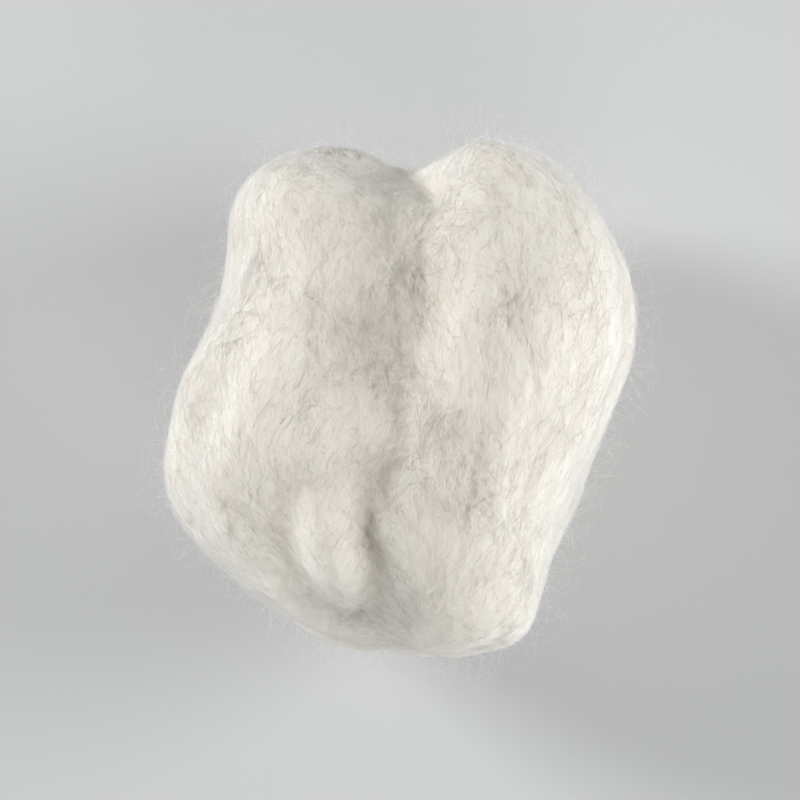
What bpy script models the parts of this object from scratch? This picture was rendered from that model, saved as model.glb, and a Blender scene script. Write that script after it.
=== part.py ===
"""Cotton ball: one soft roll of carded cotton, lying on its broad side.

Metres, +Z up. The roll's long axis runs along Y and its width along X. It is one piece, a closed
body. Its fullest outline is a squared ellipsoid, and every crease, gather and hollow is drawn in
from that outline. The origin is at the middle of its box, on the surface that it lies on.
"""

import math
from collections import namedtuple

import bmesh
import bpy
from mathutils import Vector, noise

MM = 0.001

# Fullest outline of the roll
LENGTH = 48.5 * MM  # along Y, end to end
WIDTH = 40.6 * MM  # along X, across both lobes
HEIGHT = 38.5 * MM  # along Z, before it settles
HEAD_POWER = 3.6  # squareness of the +Y end: 2 is an ellipse, more is a fuller end
FOOT_POWER = 2.3  # squareness of the -Y end
GIRTH_POWER = 2.2  # squareness around the girth
POWER_BLEND = 0.6  # one end's squareness turns into the other's over this, to each side of the middle

# How the outline leans away from a true barrel
HEAD_DRAW = 2.1 * MM  # each side draws in by this towards the head, the +Y end
FOOT_DRAW = 1.8 * MM  # and by this towards the foot, the -Y end
HEAD_DRAW_RUN = (0.1, 0.7)  # where that starts and is full, as shares of the half length
FOOT_DRAW_RUN = (-0.1, 0.8)
SWAY = 2.4 * MM  # the head half leans to +X by this, and the foot half to -X
SWAY_WAVES = 0.6  # of a full wave, from the middle to each end
LOBE_REACH = 2.4 * MM  # the +X lobe reaches this much further at each end, the -X lobe less

# The sliver is rolled up on itself, so the girth grows round it and steps down at its free edge
LAP_STEP = 1.5 * MM
LAP_TURN = -118.0  # degrees round the girth from the top, towards -X
LAP_DRIFT = 16.0  # degrees that the free edge drifts from the middle to an end
LAP_EDGE = 1.7 * MM  # how softly it steps down
LAP_FADE = 9.6 * MM  # within this distance of the long axis it fades out

# The two lobes meet along a valley on the upper side, which opens at the head as a notch
VALLEY_HEAD_DEPTH = 5.0 * MM
VALLEY_FOOT_DEPTH = 1.9 * MM
VALLEY_LEFT_WIDTH = 7.6 * MM  # at the head, from its middle to where its -X side has mostly faded
VALLEY_RIGHT_WIDTH = 5.9 * MM  # and its steeper +X side
VALLEY_FOOT_WIDTH = 4.2 * MM  # both sides, at the foot
VALLEY_OPENS = (-0.6, 0.3)  # where it turns from the foot's size to the head's
UPPER_FADE = 9.6 * MM  # what is on the upper side alone fades in over this height
VALLEY_HEAD_OFFSET = -0.6 * MM  # its middle at the head, from the long axis in plan
VALLEY_FOOT_OFFSET = -2.2 * MM  # and at the foot
VALLEY_SQUARENESS = 2.8  # 2 is a plain trough, more is a broader floor with steeper sides
NOTCH_TURN = 13.0  # degrees round the girth, from the top towards +X
NOTCH_DEPTH = 1.5 * MM
NOTCH_WIDTH = 2.4 * MM
NOTCH_RUN = 5.5 * MM  # how far the notch runs in from the head
NOTCH_FADE = 4.8 * MM  # it fades in from this far under the middle to as far over it

# Softer creases on the sides and the underside, each fading out before the ends
Crease = namedtuple("Crease", "turn drift middle reach width depth")
SIDE_CREASES = (
    Crease(turn=-62.0, drift=20.0, middle=-0.35, reach=0.75, width=3.0 * MM, depth=1.1 * MM),
    Crease(turn=74.0, drift=-14.0, middle=0.30, reach=0.80, width=3.4 * MM, depth=1.3 * MM),
    Crease(turn=122.0, drift=22.0, middle=-0.40, reach=0.65, width=2.8 * MM, depth=1.1 * MM),
    Crease(turn=176.0, drift=-12.0, middle=0.55, reach=0.60, width=3.6 * MM, depth=1.2 * MM),
)

# Each end is tucked into a soft pit, with folds that run in to it
PIT_DEPTH = 2.2 * MM
PIT_RADIUS = 5.2 * MM
PIT_OFFSET = 2.4 * MM  # how far the pit's middle is to one side of the long axis
PIT_DROP = 1.2 * MM  # how far it is under the axis at the head, and over it at the foot
END_RUN = (0.4, 0.8)  # where the ends' pits and folds fade in, as shares of the half length
FOLD_DEPTH = 0.8 * MM
FOLD_RING = 8.0 * MM  # how far out from the pit the folds are deepest
FOLD_SPREAD = 4.8 * MM
HEAD_FOLDS = 5
FOOT_FOLDS = 6
FOLD_CROWDING = 1.2  # how unevenly the folds are spaced: 0 is evenly

# A small tongue of cotton that bulges over the foot, on the upper side
TONGUE_LENGTH = 10.4 * MM
TONGUE_WIDTH = 5.8 * MM
TONGUE_BULGE = 1.1 * MM
TONGUE_GROOVE = 0.9 * MM
TONGUE_INSET = 8.4 * MM  # its middle, from the foot
TONGUE_OFFSET = -4.8 * MM  # its middle, from the long axis
TONGUE_SOFTNESS = 0.95  # in its own half sizes, as the two below
TONGUE_GROOVE_RING = 1.35
TONGUE_GROOVE_SPREAD = 0.45

# A dimple between the tongue and the valley
DIMPLE_DEPTH = 0.7 * MM
DIMPLE_RADIUS = 2.2 * MM
DIMPLE_INSET = 15.6 * MM  # from the foot
DIMPLE_OFFSET = 0.9 * MM  # from the long axis

# Soft lumps all over, as in any loose fibre
LUMP_HEIGHT = 0.9 * MM
LUMP_SPACING = 10.5 * MM

# The flat spot that it settles on
SETTLE = 0.8 * MM  # how far its own weight presses it down
SETTLE_ROUNDING = 0.8 * MM  # the band over which the flat spot turns up into the side

GRID = 28  # faces along each edge of the cube that the body starts from

COTTON_COLOR = (0.86, 0.845, 0.80, 1.0)
COTTON_ROUGHNESS = 0.95

HALF_LENGTH = LENGTH / 2
HALF_WIDTH = WIDTH / 2
HALF_HEIGHT = HEIGHT / 2


def clear_scene():
    for thing in list(bpy.data.objects):
        bpy.data.objects.remove(thing, do_unlink=True)


def fade(distance, width):
    """1 at no distance, falling smoothly to nothing a little past the width."""
    return math.exp(-((distance / width) ** 2))


def trough(distance, width):
    """As fade, with a broader floor and steeper sides."""
    return math.exp(-(abs(distance / width) ** VALLEY_SQUARENESS))


def ease(value, low, high):
    """0 below low, 1 above high and a smooth step between."""
    share = min(1.0, max(0.0, (value - low) / (high - low)))
    return share * share * (3 - 2 * share)


def turn_between(angle, other):
    """The signed turn from other to angle, within half a turn."""
    return (angle - other + math.pi) % math.tau - math.pi


def sway(run):
    """How far the roll's middle line leans to +X in plan."""
    return SWAY * math.sin(SWAY_WAVES * math.tau * run)


def upper_side(place):
    """1 on the upper side, fading to 0 at the middle of the height."""
    return ease(place.z, 0.0, UPPER_FADE)


def outline_radius(ray):
    """How far the fullest outline lies from the middle, along a unit ray."""
    power = FOOT_POWER + (HEAD_POWER - FOOT_POWER) * ease(ray.y, -POWER_BLEND, POWER_BLEND)
    girth = (abs(ray.x) / HALF_WIDTH) ** GIRTH_POWER + (abs(ray.z) / HALF_HEIGHT) ** GIRTH_POWER
    total = (abs(ray.y) / HALF_LENGTH) ** power + girth ** (power / GIRTH_POWER)
    return total ** (-1 / power)


def lap_cut(angle, off_axis, run):
    """The girth shrinks steadily from the free edge, all the way round to under it."""
    edge = math.radians(LAP_TURN + LAP_DRIFT * run * run)
    past = (edge - angle) % math.tau
    grown = past / math.tau
    step = ease(past * off_axis, 0.0, 2 * LAP_EDGE)
    return LAP_STEP * step * (1 - grown) * ease(off_axis, 0.0, LAP_FADE)


def valley_cut(place, angle, off_axis, run):
    """The valley between the two lobes, and the notch where it opens at the head."""
    opening = ease(run, *VALLEY_OPENS)
    middle = VALLEY_FOOT_OFFSET + (VALLEY_HEAD_OFFSET - VALLEY_FOOT_OFFSET) * opening
    across = place.x + sway(run) - middle
    head_width = VALLEY_RIGHT_WIDTH if across > 0 else VALLEY_LEFT_WIDTH
    width = VALLEY_FOOT_WIDTH + (head_width - VALLEY_FOOT_WIDTH) * opening
    depth = VALLEY_FOOT_DEPTH + (VALLEY_HEAD_DEPTH - VALLEY_FOOT_DEPTH) * opening
    valley = depth * trough(across, width) * upper_side(place)
    notch_across = turn_between(angle, math.radians(NOTCH_TURN)) * off_axis
    from_head = HALF_LENGTH - place.y
    notch = NOTCH_DEPTH * fade(notch_across, NOTCH_WIDTH) * fade(from_head, NOTCH_RUN)
    return valley + notch * ease(place.z, -NOTCH_FADE, NOTCH_FADE)


def side_crease_cut(angle, off_axis, run):
    """The softer creases, each fading out along its length."""
    cut = 0.0
    for crease in SIDE_CREASES:
        middle = math.radians(crease.turn + crease.drift * (run - crease.middle))
        across = turn_between(angle, middle) * off_axis
        strength = fade(run - crease.middle, crease.reach)
        cut += crease.depth * strength * fade(across, crease.width)
    return cut


def end_cut(place, run):
    """The pit at each end, and the folds that run in to it."""
    toward = 1 if run > 0 else -1
    folds = HEAD_FOLDS if run > 0 else FOOT_FOLDS
    across = place.x - toward * PIT_OFFSET
    up = place.z + toward * PIT_DROP
    reach = math.hypot(across, up)
    angle = math.atan2(across, up)
    near_end = ease(abs(run), *END_RUN)
    pit = PIT_DEPTH * fade(reach, PIT_RADIUS) * near_end
    ring = fade(reach - FOLD_RING, FOLD_SPREAD) * near_end
    wave = 0.5 + 0.5 * math.sin(folds * angle + FOLD_CROWDING * math.sin(angle + toward))
    return pit + FOLD_DEPTH * ring * wave * wave


def tongue_bulge(place):
    """The tongue over the foot: a low bulge inside a shallow groove."""
    across = (place.x - TONGUE_OFFSET) / (TONGUE_WIDTH / 2)
    along = (place.y - (TONGUE_INSET - HALF_LENGTH)) / (TONGUE_LENGTH / 2)
    reach = math.hypot(across, along)
    groove = TONGUE_GROOVE * fade(reach - TONGUE_GROOVE_RING, TONGUE_GROOVE_SPREAD)
    return (TONGUE_BULGE * fade(reach, TONGUE_SOFTNESS) - groove) * upper_side(place)


def dimple_cut(place):
    across = place.x - DIMPLE_OFFSET
    along = place.y - (DIMPLE_INSET - HALF_LENGTH)
    return DIMPLE_DEPTH * fade(math.hypot(across, along), DIMPLE_RADIUS) * upper_side(place)


def lump(place):
    return LUMP_HEIGHT * noise.noise(place / LUMP_SPACING)


def relief(place):
    """How far the surface stands out from its fullest outline at a place on it."""
    angle = math.atan2(place.x / HALF_WIDTH, place.z / HALF_HEIGHT)
    off_axis = math.hypot(place.x, place.z)
    run = place.y / HALF_LENGTH
    cuts = (
        lap_cut(angle, off_axis, run)
        + valley_cut(place, angle, off_axis, run)
        + side_crease_cut(angle, off_axis, run)
        + end_cut(place, run)
        + dimple_cut(place)
    )
    return tongue_bulge(place) + lump(place) - cuts


def lean(place):
    """Draws both ends in, sways the two halves apart and lengthens the +X lobe."""
    run = place.y / HALF_LENGTH
    side = place.x / HALF_WIDTH
    draw = FOOT_DRAW * ease(-run, *FOOT_DRAW_RUN) + HEAD_DRAW * ease(run, *HEAD_DRAW_RUN)
    x = place.x * (1 - draw / HALF_WIDTH) + sway(run)
    y = place.y + LOBE_REACH * side * run
    z = place.z * (1 - draw / HALF_HEIGHT)
    return Vector((x, y, z))


def settle(height):
    """Presses what lies low flat on the surface, and turns the rim up smoothly."""
    if height <= 0:
        return 0.0
    if height < SETTLE_ROUNDING:
        return height * height / (2 * SETTLE_ROUNDING)
    return height - SETTLE_ROUNDING / 2


def even_ray(corner):
    """A unit ray through a point of the starting cube, spaced evenly over the ball."""
    spread = (math.tan(value * math.pi / 4) for value in corner)
    return Vector(spread).normalized()


def make_body(mesh):
    """A cube, divided and swelled out to the roll's surface, then settled on its flat spot."""
    body = bmesh.new()
    bmesh.ops.create_cube(body, size=2.0)
    bmesh.ops.subdivide_edges(body, edges=body.edges[:], cuts=GRID - 1, use_grid_fill=True)
    for vert in body.verts:
        ray = even_ray(vert.co)
        outline = outline_radius(ray)
        vert.co = lean(ray * (outline + relief(ray * outline)))
    floor = min(vert.co.z for vert in body.verts) + SETTLE
    for vert in body.verts:
        vert.co.z = settle(vert.co.z - floor)
    centre_on_origin(body)
    bmesh.ops.recalc_face_normals(body, faces=body.faces[:])
    for face in body.faces:
        face.smooth = True
    body.to_mesh(mesh)
    body.free()


def centre_on_origin(body):
    """Moves the body so that the middle of its box is over the origin."""
    xs = [vert.co.x for vert in body.verts]
    ys = [vert.co.y for vert in body.verts]
    middle = Vector(((min(xs) + max(xs)) / 2, (min(ys) + max(ys)) / 2, 0.0))
    bmesh.ops.translate(body, verts=body.verts[:], vec=-middle)


def cotton_material():
    material = bpy.data.materials.new("cotton")
    material.use_nodes = True
    shader = material.node_tree.nodes["Principled BSDF"]
    shader.inputs["Base Color"].default_value = COTTON_COLOR
    shader.inputs["Roughness"].default_value = COTTON_ROUGHNESS
    shader.inputs["Metallic"].default_value = 0.0
    material.diffuse_color = COTTON_COLOR
    return material


def add_cotton_ball():
    mesh = bpy.data.meshes.new("cotton_ball")
    make_body(mesh)
    mesh.materials.append(cotton_material())
    ball = bpy.data.objects.new("cotton_ball", mesh)
    bpy.context.scene.collection.objects.link(ball)


def main():
    clear_scene()
    add_cotton_ball()


main()
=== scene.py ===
"""Cotton ball: a roll of carded cotton and its coat of fibres, with the floor, the light and the camera.

Metres, +Z up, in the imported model's own frame. The roll's long axis runs along Y.
"""

import math

import bpy
import numpy as np
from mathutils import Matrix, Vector, noise
from mathutils.bvhtree import BVHTree


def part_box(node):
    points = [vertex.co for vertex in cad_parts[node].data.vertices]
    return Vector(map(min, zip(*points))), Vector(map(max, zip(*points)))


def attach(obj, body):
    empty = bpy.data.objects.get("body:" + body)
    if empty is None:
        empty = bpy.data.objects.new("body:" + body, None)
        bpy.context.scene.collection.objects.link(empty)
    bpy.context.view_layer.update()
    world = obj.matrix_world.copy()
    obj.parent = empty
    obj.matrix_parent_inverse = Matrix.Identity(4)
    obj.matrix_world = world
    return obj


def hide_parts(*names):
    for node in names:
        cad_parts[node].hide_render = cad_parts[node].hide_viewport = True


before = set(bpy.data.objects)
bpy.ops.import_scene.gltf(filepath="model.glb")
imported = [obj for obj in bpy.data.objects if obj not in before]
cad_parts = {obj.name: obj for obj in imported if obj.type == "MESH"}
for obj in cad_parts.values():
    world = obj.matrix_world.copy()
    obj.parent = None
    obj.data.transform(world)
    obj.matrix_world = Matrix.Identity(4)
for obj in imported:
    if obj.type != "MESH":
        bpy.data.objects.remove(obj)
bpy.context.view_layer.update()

MM = 0.001
SEED = 7

# The fine skin of the roll
WELD = 0.001 * MM
SKIN_LEVELS = 2
REST_GAP = 0.12 * MM  # from the floor to the skin, where fibres lie between them

# Relief of the skin. A grain is the noise's size in mm, across the roll and along it
RELIEF_SHIFT = Vector((31.0, 12.0, 5.0))  # which part of the noise the relief is taken from
PUFF_GRAIN = (2.7, 4.5)
PUFF_HEIGHT = 0.20 * MM
STREAK_GRAIN = (0.8, 6.0)
STREAK_HEIGHT = 0.06 * MM
NAP_GRAIN = (0.55, 1.1)
NAP_HEIGHT = 0.03 * MM
FURROW_GRAIN = (4.2, 15.0)
FURROW_NARROW = 0.16  # the lower, the narrower
FURROW_DEPTH = 0.24 * MM
FADE_GRAIN = (9.0, 11.0)  # of the furrows as they come and go
FADE_SHIFT = Vector((0.0, 0.0, 360.0))
FADE_LEVEL = 0.35  # the higher, the more of the skin has furrows

# Relief of the two ends, where it runs in towards the long axis
AXIS_HEIGHT = 17.0 * MM
END_FACING = (0.55, 0.90)  # how much of the normal is lengthwise where an end starts and is whole
END_FURROWS_ROUND = 2.6  # the higher, the more of them round an end
END_FURROW_RUN = 9.0  # mm outwards
END_FURROW_NARROW = 0.17
END_STREAKS_ROUND = 7.0
END_STREAK_RUN = 5.0

# Colours and the finish
COTTON_LIGHT = (0.925, 0.888, 0.815)
COTTON_SHADE = (0.88, 0.838, 0.76)
FIBRE_LIGHT = (0.95, 0.923, 0.865)
# Each grain of the patterns is its size along X, Y and Z
STREAKS = (0.5 * MM, 5.0 * MM, 0.5 * MM)
CLOUDS = (5.0 * MM, 9.0 * MM, 5.0 * MM)
WEB = (0.22 * MM, 1.6 * MM, 0.22 * MM)
TINT_BANDS = 48  # fibres share this many tints
BAKE_MAP = "OFBake"
MAP_EDGE = 0.02  # left free at both ends of a fibre
BAND_MIDDLE = 0.5
BAND_SIDES = (0.2, 0.8)  # where a fibre's outer corners lie in its band

# How all fibres are made
FIBRE_RADIUS = 0.012 * MM
TUBE_SIDES = 3
FLOOR_CLEARANCE = 0.03 * MM  # to a fibre's centre line
TINY = 1e-12  # keeps a length of nothing from dividing
WANDER_GRAIN = 7.0 * MM
WANDER_TURN = 1.1  # radians, the most that the lie of the fibres turns from lengthwise

# The coat that lies in the skin
COAT_PIECES = 3
COAT_FIBRES = 6200  # in each piece
COAT_STEPS = 6
COAT_LENGTH = (4.0 * MM, 8.5 * MM)
COAT_THICKNESS = (0.7, 1.3)
TUFTS = 1500
TUFTED_SHARE = 0.6
TUFT_ALONG = 2.2 * MM
TUFT_ACROSS = 0.55 * MM
TUFT_TURN = 0.35  # radians, as the two below
TUFTED_SPREAD = 0.12
LOOSE_SPREAD = 0.6
COAT_BEND = 130.0  # radians a metre
COAT_UNREST = 0.12  # radians a step
COAT_LIFT = (-0.04 * MM, 0.16 * MM)
COAT_WAVE = (0.03 * MM, 0.14 * MM)
WAVE_STEP = 2.4  # radians
ROOT_DEPTH = 0.1 * MM
FREE_SHARE = 0.3
FREE_RISE = (0.15 * MM, 0.6 * MM)

# The loose fibres that stand off the skin
STRAY_FIBRES = 3200
STRAY_STEPS = 11
STRAY_LENGTH = (1.2 * MM, 8.0 * MM)
STRAY_THICKNESS = (0.6, 1.0)
STRAY_SHORTNESS = 2.5  # the higher, the fewer long ones
STRAY_RISE = (0.35, 1.0)
STRAY_LEAN = 1.15
STRAY_CURL = (60.0, 210.0)  # radians a metre
STRAY_UNREST = 0.35
STRAY_HEIGHT = 2.2 * MM  # about how far they stand off
STRAY_SAG = 0.25
STRAY_OFFSET = 1e-6  # gives a fibre that runs straight out a side to face

# Floor, lamps and world
FLOOR_SIZE = 3.0  # metres
FLOOR_DROP = 0.3 * MM
FLOOR_COLOUR = (0.66, 0.67, 0.68, 1)
LAMPS = (  # name, place and width in metres, watts
    ("key light", (-0.46, 0.20, 0.24), 0.18, 2.12),
    ("fill light", (0.50, 0.04, 0.20), 0.30, 1.95),
    ("front light", (0.14, -0.50, 0.22), 0.40, 0.73),
)
WORLD_STRENGTH = 0.325

# Camera, looking down on the ball as it lies
VIEW_AZIMUTH = 0.0  # degrees
VIEW_ELEVATION = 84.0
CAMERA_DISTANCE = 0.45  # metres
FRAME_SPAN = 0.072  # metres that the picture takes in at the ball's distance
SENSOR = 36.0  # mm


def deselect_all():
    if bpy.context.object and bpy.context.object.mode != "OBJECT":
        bpy.ops.object.mode_set(mode="OBJECT")
    bpy.ops.object.select_all(action="DESELECT")


def pick(piece):
    deselect_all()
    piece.select_set(True)
    bpy.context.view_layer.objects.active = piece


# Materials

def add_node(tree, kind, **settings):
    node = tree.nodes.new(kind)
    for name, value in settings.items():
        setattr(node, name, value)
    return node


def new_material(name):
    material = bpy.data.materials.new(name)
    material.use_nodes = True
    return material, material.node_tree, material.node_tree.nodes["Principled BSDF"]


def stretched_noise(tree, coordinates, grain, detail, roughness=0.6):
    """Noise on Object coordinates with its own grain size along X, Y and Z, in metres."""
    mapping = add_node(tree, "ShaderNodeMapping")
    mapping.inputs["Scale"].default_value = [1 / size for size in grain]
    pattern = add_node(tree, "ShaderNodeTexNoise")
    pattern.inputs["Scale"].default_value = 1.0
    pattern.inputs["Detail"].default_value = detail
    pattern.inputs["Roughness"].default_value = roughness
    tree.links.new(coordinates.outputs["Object"], mapping.inputs["Vector"])
    tree.links.new(mapping.outputs["Vector"], pattern.inputs["Vector"])
    return pattern.outputs["Fac"]


def average(tree, first, second):
    total = add_node(tree, "ShaderNodeMath", operation="ADD")
    half = add_node(tree, "ShaderNodeMath", operation="MULTIPLY")
    half.inputs[1].default_value = 0.5
    tree.links.new(first, total.inputs[0])
    tree.links.new(second, total.inputs[1])
    tree.links.new(total.outputs["Value"], half.inputs[0])
    return half.outputs["Value"]


def ramp_between(tree, factor, low, high, dark, light):
    ramp = add_node(tree, "ShaderNodeValToRGB")
    ramp.color_ramp.elements[0].position = low
    ramp.color_ramp.elements[0].color = (*dark, 1)
    ramp.color_ramp.elements[1].position = high
    ramp.color_ramp.elements[1].color = (*light, 1)
    tree.links.new(factor, ramp.inputs["Fac"])
    return ramp.outputs["Color"]


def soft_finish(shader):
    shader.inputs["Roughness"].default_value = 1.0
    shader.inputs["Specular IOR Level"].default_value = 0.12
    shader.inputs["Sheen Weight"].default_value = 0.15
    shader.inputs["Sheen Roughness"].default_value = 0.6


def roll_material():
    """Matted cotton: lengthwise streaks of fibre, with clouded warm and cool whites."""
    material, tree, shader = new_material("carded cotton")
    coordinates = add_node(tree, "ShaderNodeTexCoord")
    streaks = stretched_noise(tree, coordinates, STREAKS, detail=2)
    clouds = stretched_noise(tree, coordinates, CLOUDS, detail=1)
    mottle = average(tree, streaks, clouds)
    colour = ramp_between(tree, mottle, low=0.35, high=0.62, dark=COTTON_SHADE, light=COTTON_LIGHT)
    tree.links.new(colour, shader.inputs["Base Color"])
    web = stretched_noise(tree, coordinates, WEB, detail=2, roughness=0.7)
    bump = add_node(tree, "ShaderNodeBump")
    bump.inputs["Strength"].default_value = 0.4
    bump.inputs["Distance"].default_value = 0.12 * MM
    tree.links.new(web, bump.inputs["Height"])
    tree.links.new(bump.outputs["Normal"], shader.inputs["Normal"])
    soft_finish(shader)
    shader.inputs["Subsurface Weight"].default_value = 0.6
    shader.inputs["Subsurface Radius"].default_value = (1.0, 0.93, 0.82)
    shader.inputs["Subsurface Scale"].default_value = 2.2 * MM
    return material


def fibre_material():
    """Single fibres: each takes its tint from its own place across the map."""
    material, tree, shader = new_material("cotton fibre")
    coordinates = add_node(tree, "ShaderNodeTexCoord")
    parts = add_node(tree, "ShaderNodeSeparateXYZ")
    tint = add_node(tree, "ShaderNodeTexNoise", noise_dimensions="1D")
    tint.inputs["Scale"].default_value = 9.0
    tint.inputs["Detail"].default_value = 1.0
    tree.links.new(coordinates.outputs["UV"], parts.inputs["Vector"])
    tree.links.new(parts.outputs["Y"], tint.inputs["W"])
    factor = tint.outputs["Fac"]
    colour = ramp_between(tree, factor, low=0.35, high=0.65, dark=COTTON_LIGHT, light=FIBRE_LIGHT)
    tree.links.new(colour, shader.inputs["Base Color"])
    soft_finish(shader)
    shader.inputs["Subsurface Weight"].default_value = 1.0
    shader.inputs["Subsurface Radius"].default_value = (1.0, 0.95, 0.9)
    shader.inputs["Subsurface Scale"].default_value = 0.5 * MM
    return material


# The roll itself

def copy_of_node(name, new_name):
    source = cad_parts[name]
    piece = bpy.data.objects.new(new_name, source.data.copy())
    bpy.context.scene.collection.objects.link(piece)
    piece.data.materials.clear()
    return piece


def smooth_copy(piece):
    """Welds the loose triangles, pairs them into quads and subdivides them to a fine skin."""
    pick(piece)
    bpy.ops.object.mode_set(mode="EDIT")
    bpy.ops.mesh.select_all(action="SELECT")
    bpy.ops.mesh.remove_doubles(threshold=WELD)
    bpy.ops.mesh.tris_convert_to_quads(face_threshold=math.pi, shape_threshold=math.pi)
    bpy.ops.object.mode_set(mode="OBJECT")
    skin = piece.modifiers.new("fine skin", "SUBSURF")
    skin.levels = SKIN_LEVELS
    skin.render_levels = SKIN_LEVELS
    bpy.ops.object.modifier_apply(modifier=skin.name)
    for layer in list(piece.data.uv_layers):
        piece.data.uv_layers.remove(layer)


def end_share(normal):
    """How far a place faces along the long axis: 0 on the sides, 1 on the two ends."""
    starts, whole = END_FACING
    share = min(1.0, max(0.0, (abs(normal.y) - starts) / (whole - starts)))
    return share * share * (3 - 2 * share)


def side_noise(point, grain):
    across, along = grain
    return noise.noise(Vector((point.x / across, point.y / along, point.z / across)))


def end_noise(turn, times_round, outwards):
    return noise.noise(Vector((times_round * math.cos(turn), times_round * math.sin(turn), outwards)))


def furrow(value, narrow):
    """1 where a noise value crosses zero, falling off to both sides."""
    return math.exp(-((value / narrow) ** 2))


def cotton_relief(place, normal):
    """How far matted fibre stands out or draws in here: puffs, furrows, streaks and nap."""
    point = place / MM + RELIEF_SHIFT
    ends = end_share(normal)
    turn = math.atan2(place.x, place.z - AXIS_HEIGHT)
    reach = math.hypot(place.x, place.z - AXIS_HEIGHT) / MM
    comes_and_goes = max(0.0, side_noise(point + FADE_SHIFT, FADE_GRAIN) + FADE_LEVEL)
    side_furrows = furrow(side_noise(point, FURROW_GRAIN), FURROW_NARROW)
    end_run = end_noise(turn, END_FURROWS_ROUND, reach / END_FURROW_RUN + point.y)
    end_furrows = furrow(end_run, END_FURROW_NARROW)
    furrows = (side_furrows * (1 - ends) + end_furrows * ends) * comes_and_goes
    side_streaks = side_noise(point, STREAK_GRAIN)
    end_streaks = end_noise(turn, END_STREAKS_ROUND, reach / END_STREAK_RUN)
    streaks = side_streaks * (1 - ends) + end_streaks * ends
    puffs = side_noise(point, PUFF_GRAIN)
    nap = side_noise(point, NAP_GRAIN)
    raised = PUFF_HEIGHT * puffs + STREAK_HEIGHT * streaks + NAP_HEIGHT * nap
    return raised - FURROW_DEPTH * furrows


def make_roll():
    roll = copy_of_node("cotton_ball", "cotton_roll")
    smooth_copy(roll)
    skin = [(vert.co.copy(), vert.normal.copy()) for vert in roll.data.vertices]
    for vert, (place, normal) in zip(roll.data.vertices, skin):
        moved = place + normal * cotton_relief(place, normal)
        moved.z = max(moved.z, REST_GAP)
        vert.co = moved
    roll.data.update()
    pick(roll)
    bpy.ops.object.shade_smooth()
    roll.data.materials.append(roll_material())
    return roll


# Fibres

class Surface:
    """The roll's skin, to start fibres on and to lay them along."""

    def __init__(self, piece):
        mesh = piece.data
        mesh.calc_loop_triangles()
        self.places = np.empty(len(mesh.vertices) * 3)
        mesh.vertices.foreach_get("co", self.places)
        self.places = self.places.reshape(-1, 3)
        self.normals = np.empty(len(mesh.vertices) * 3)
        mesh.vertices.foreach_get("normal", self.normals)
        self.normals = self.normals.reshape(-1, 3)
        self.triangles = np.empty(len(mesh.loop_triangles) * 3, dtype=np.int32)
        mesh.loop_triangles.foreach_get("vertices", self.triangles)
        self.triangles = self.triangles.reshape(-1, 3)
        a, b, c = (self.places[self.triangles[:, k]] for k in range(3))
        areas = np.linalg.norm(np.cross(b - a, c - a), axis=1)
        self.shares = np.cumsum(areas) / areas.sum()
        self.tree = BVHTree.FromPolygons(self.places.tolist(), self.triangles.tolist())

    def scatter(self, chance, count):
        """Places spread evenly over the skin."""
        chosen = np.searchsorted(self.shares, chance.random(count))
        corners = self.places[self.triangles[chosen]]
        u, v = chance.random((2, count, 1))
        over = (u + v) > 1
        u = np.where(over, 1 - u, u)
        v = np.where(over, 1 - v, v)
        return corners[:, 0] * (1 - u - v) + corners[:, 1] * u + corners[:, 2] * v

    def nearest(self, points):
        """The nearest places on the skin, and its smooth normals there."""
        places = np.empty_like(points)
        normals = np.empty_like(points)
        for row, point in enumerate(points):
            found, _, face, _ = self.tree.find_nearest(point)
            places[row] = found
            normals[row] = self.normals[self.triangles[face]].mean(axis=0)
        return places, unit(normals)


def unit(vectors):
    return vectors / np.maximum(np.linalg.norm(vectors, axis=-1, keepdims=True), TINY)


def flatten_to(vectors, normals):
    """The part of each vector that lies in the skin."""
    return unit(vectors - normals * (vectors * normals).sum(-1, keepdims=True))


def turned(vectors, normals, angles):
    """Turns each vector in the skin by its angle."""
    across = np.cross(normals, vectors)
    return vectors * np.cos(angles)[:, None] + across * np.sin(angles)[:, None]


def lie_of_fibre(places, normals):
    """The way that the fibres run: along the roll, wandering."""
    lengthwise = flatten_to(np.tile((0.0, 1.0, 0.0), (len(places), 1)), normals)
    wander = np.array([noise.noise(Vector(place / WANDER_GRAIN)) for place in places])
    return turned(lengthwise, normals, WANDER_TURN * wander)


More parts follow.
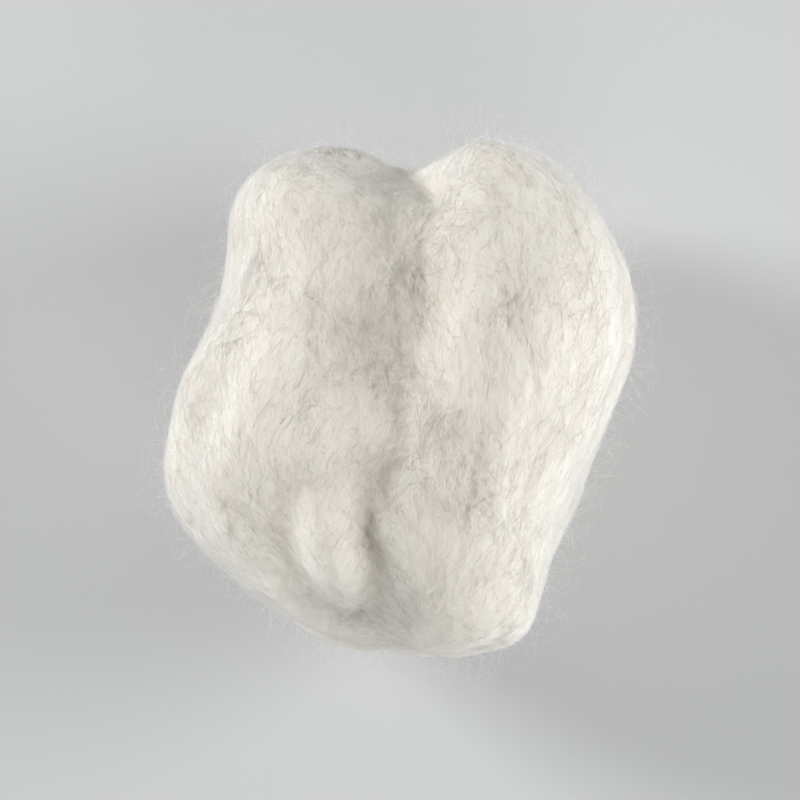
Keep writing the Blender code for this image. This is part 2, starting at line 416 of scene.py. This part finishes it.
def lay_coat(surface, chance, count):
    """Centre lines of fibres that lie in the skin, weaving a little out of it and back."""
    in_tuft = chance.random(count) < TUFTED_SHARE
    seeds = surface.scatter(chance, TUFTS)
    tuft = chance.integers(TUFTS, size=count)
    tuft_turn = chance.normal(0, TUFT_TURN, TUFTS)
    places = np.where(in_tuft[:, None], seeds[tuft], surface.scatter(chance, count))
    places, normals = surface.nearest(places)
    run = lie_of_fibre(places, normals)
    across = np.cross(normals, run)
    along_by = chance.normal(0, TUFT_ALONG, (count, 1)) * in_tuft[:, None]
    across_by = chance.normal(0, TUFT_ACROSS, (count, 1)) * in_tuft[:, None]
    places, normals = surface.nearest(places + run * along_by + across * across_by)
    tufted_spread = chance.normal(0, TUFTED_SPREAD, count)
    loose_spread = chance.normal(0, LOOSE_SPREAD, count)
    turn = np.where(in_tuft, tuft_turn[tuft] + tufted_spread, loose_spread)
    run = turned(lie_of_fibre(places, normals), normals, turn)
    step = chance.uniform(*COAT_LENGTH, count) / COAT_STEPS
    bend = chance.normal(0, COAT_BEND, count) * step
    lift = chance.uniform(*COAT_LIFT, count)
    wave = chance.uniform(*COAT_WAVE, count)
    phase = chance.uniform(0, math.tau, count)
    is_free = chance.random(count) < FREE_SHARE
    tip_rise = np.where(is_free, chance.uniform(*FREE_RISE, count), -ROOT_DEPTH)
    lines = []
    facings = []
    for number in range(COAT_STEPS + 1):
        share = number / COAT_STEPS
        height = lift + wave * np.sin(phase + WAVE_STEP * number) + tip_rise * share**3
        if number == 0:
            height = np.full(count, -ROOT_DEPTH)
        lines.append(places + normals * height[:, None])
        facings.append(normals)
        unrest = chance.normal(0, COAT_UNREST, count)
        run = turned(flatten_to(run, normals), normals, bend + unrest)
        places, normals = surface.nearest(places + run * step[:, None])
    return np.stack(lines, 1), np.stack(facings, 1)


def grow_strays(surface, chance, count):
    """Centre lines of loose fibres that spring off the skin and curl over."""
    places, normals = surface.nearest(surface.scatter(chance, count))
    lie = turned(lie_of_fibre(places, normals), normals, chance.uniform(0, math.tau, count))
    rise = chance.uniform(*STRAY_RISE, count)[:, None]
    run = unit(lie * (STRAY_LEAN - rise) + normals * rise)
    short, long = STRAY_LENGTH
    length = short + (long - short) * chance.random(count) ** STRAY_SHORTNESS
    step = (length / STRAY_STEPS)[:, None]
    curl = chance.normal(0, 1.0, (count, 3))
    curl_rate = chance.uniform(*STRAY_CURL, count)[:, None]
    start = places.copy()
    lines = []
    facings = []
    for number in range(STRAY_STEPS + 1):
        lines.append(places)
        facings.append(unit(np.cross(run, np.cross(normals, run) + STRAY_OFFSET)))
        height = ((places - start) * normals).sum(1, keepdims=True)
        sag = normals * np.clip(height / STRAY_HEIGHT, 0, 2) ** 2 * STRAY_SAG
        run = unit(run + np.cross(curl, run) * curl_rate * step - sag)
        curl = curl + chance.normal(0, STRAY_UNREST, (count, 3))
        places = places + run * step
    return np.stack(lines, 1), np.stack(facings, 1)


def tube_faces(count, steps):
    """Faces of thin tubes that end in points. A tube's corners run from tip to tip, ring by ring."""
    per_tube = 2 + TUBE_SIDES * (steps - 1)
    one = []
    for side in range(TUBE_SIDES):
        after = (side + 1) % TUBE_SIDES
        one.append((0, 1 + after, 1 + side))
        for ring in range(steps - 2):
            low = 1 + TUBE_SIDES * ring
            high = low + TUBE_SIDES
            one.append((low + side, low + after, high + after, high + side))
        last = 1 + TUBE_SIDES * (steps - 2)
        one.append((last + side, last + after, per_tube - 1))
    return [[tube * per_tube + corner for corner in face] for tube in range(count) for face in one]


def make_tubes(name, lines, facings, radii, chance):
    """One piece of thin tubes along the centre lines, with a map that gives each its tint."""
    count, places, _ = lines.shape
    steps = places - 1
    lines[:, :, 2] = np.maximum(lines[:, :, 2], FLOOR_CLEARANCE)
    ahead = unit(np.gradient(lines, axis=1))
    out = flatten_to(facings, ahead)
    side = np.cross(ahead, out)
    rings = []
    for corner in range(TUBE_SIDES):
        angle = math.tau * corner / TUBE_SIDES
        offset = out * math.cos(angle) + side * math.sin(angle)
        rings.append(lines + offset * radii[:, None, None])
    rings = np.stack(rings, 2)[:, 1:-1].reshape(count, -1, 3)
    verts = np.concatenate((lines[:, :1], rings, lines[:, -1:]), 1)
    mesh = bpy.data.meshes.new(name)
    mesh.from_pydata(verts.reshape(-1, 3).tolist(), [], tube_faces(count, steps))
    piece = bpy.data.objects.new(name, mesh)
    bpy.context.scene.collection.objects.link(piece)
    add_tint_map(mesh, count, steps, chance)
    pick(piece)
    bpy.ops.object.shade_smooth()
    return piece


def add_tint_map(mesh, count, steps, chance):
    """Along a fibre is along the map, and its tint band is its place across the map."""
    along = np.concatenate(([0.0], np.repeat(np.arange(1, steps), TUBE_SIDES) / steps, [1.0]))
    around = np.linspace(*BAND_SIDES, TUBE_SIDES)
    within = np.concatenate(([BAND_MIDDLE], np.tile(around, steps - 1), [BAND_MIDDLE]))
    band = chance.integers(TINT_BANDS, size=count)[:, None]
    u = np.tile(along, (count, 1)) * (1 - 2 * MAP_EDGE) + MAP_EDGE
    v = (band + within) / TINT_BANDS
    by_vertex = np.stack((u, v), 2).reshape(-1, 2)
    corner = np.empty(len(mesh.loops), dtype=np.int32)
    mesh.loops.foreach_get("vertex_index", corner)
    layer = mesh.uv_layers.new(name=BAKE_MAP)
    layer.uv.foreach_set("vector", by_vertex[corner].astype(np.float32).ravel())


def make_fibres(roll):
    surface = Surface(roll)
    chance = np.random.default_rng(SEED)
    material = fibre_material()
    pieces = []
    for number in range(COAT_PIECES):
        lines, facings = lay_coat(surface, chance, COAT_FIBRES)
        radii = FIBRE_RADIUS * chance.uniform(*COAT_THICKNESS, COAT_FIBRES)
        pieces.append(make_tubes(f"coat_fibres_{number + 1}", lines, facings, radii, chance))
    lines, facings = grow_strays(surface, chance, STRAY_FIBRES)
    radii = FIBRE_RADIUS * chance.uniform(*STRAY_THICKNESS, STRAY_FIBRES)
    pieces.append(make_tubes("stray_fibres", lines, facings, radii, chance))
    for piece in pieces:
        piece.data.materials.append(material)
    return pieces


# Floor, light and camera

def make_floor():
    deselect_all()
    bpy.ops.mesh.primitive_plane_add(size=FLOOR_SIZE, location=(0, 0, -FLOOR_DROP))
    floor = bpy.context.object
    floor.name = "floor"
    material, _, shader = new_material("pale floor")
    shader.inputs["Base Color"].default_value = FLOOR_COLOUR
    shader.inputs["Roughness"].default_value = 0.9
    shader.inputs["Specular IOR Level"].default_value = 0.1
    floor.data.materials.append(material)


def turn_towards(direction):
    """The rotation of a lamp or camera that faces this way."""
    return direction.to_track_quat("-Z", "Y").to_euler()


def make_light(target):
    for name, place, width, watts in LAMPS:
        bpy.ops.object.light_add(type="AREA", location=place)
        lamp = bpy.context.object
        lamp.name = name
        lamp.data.shape = "DISK"
        lamp.data.size = width
        lamp.data.energy = watts
        lamp.rotation_euler = turn_towards(Vector(target) - Vector(place))
    world = bpy.data.worlds.new("studio")
    bpy.context.scene.world = world
    world.use_nodes = True
    background = world.node_tree.nodes["Background"]
    background.inputs["Color"].default_value = (1.0, 1.0, 1.0, 1)
    background.inputs["Strength"].default_value = WORLD_STRENGTH


def make_camera(target):
    a = math.radians(VIEW_AZIMUTH)
    e = math.radians(VIEW_ELEVATION)
    back = Vector((math.sin(a) * math.cos(e), -math.cos(a) * math.cos(e), math.sin(e)))
    bpy.ops.object.camera_add(location=Vector(target) + back * CAMERA_DISTANCE)
    camera = bpy.context.object
    camera.data.sensor_width = SENSOR
    camera.data.lens = SENSOR * CAMERA_DISTANCE / FRAME_SPAN
    camera.rotation_euler = turn_towards(-back)
    bpy.context.scene.camera = camera


low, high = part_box("cotton_ball")
middle = [(a + b) / 2 for a, b in zip(low, high)]

roll = make_roll()
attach(roll, "root")
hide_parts("cotton_ball")

for fibres in make_fibres(roll):
    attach(fibres, "root")

make_floor()
make_light(middle)
make_camera(middle)
bpy.context.scene.view_settings.view_transform = "Standard"
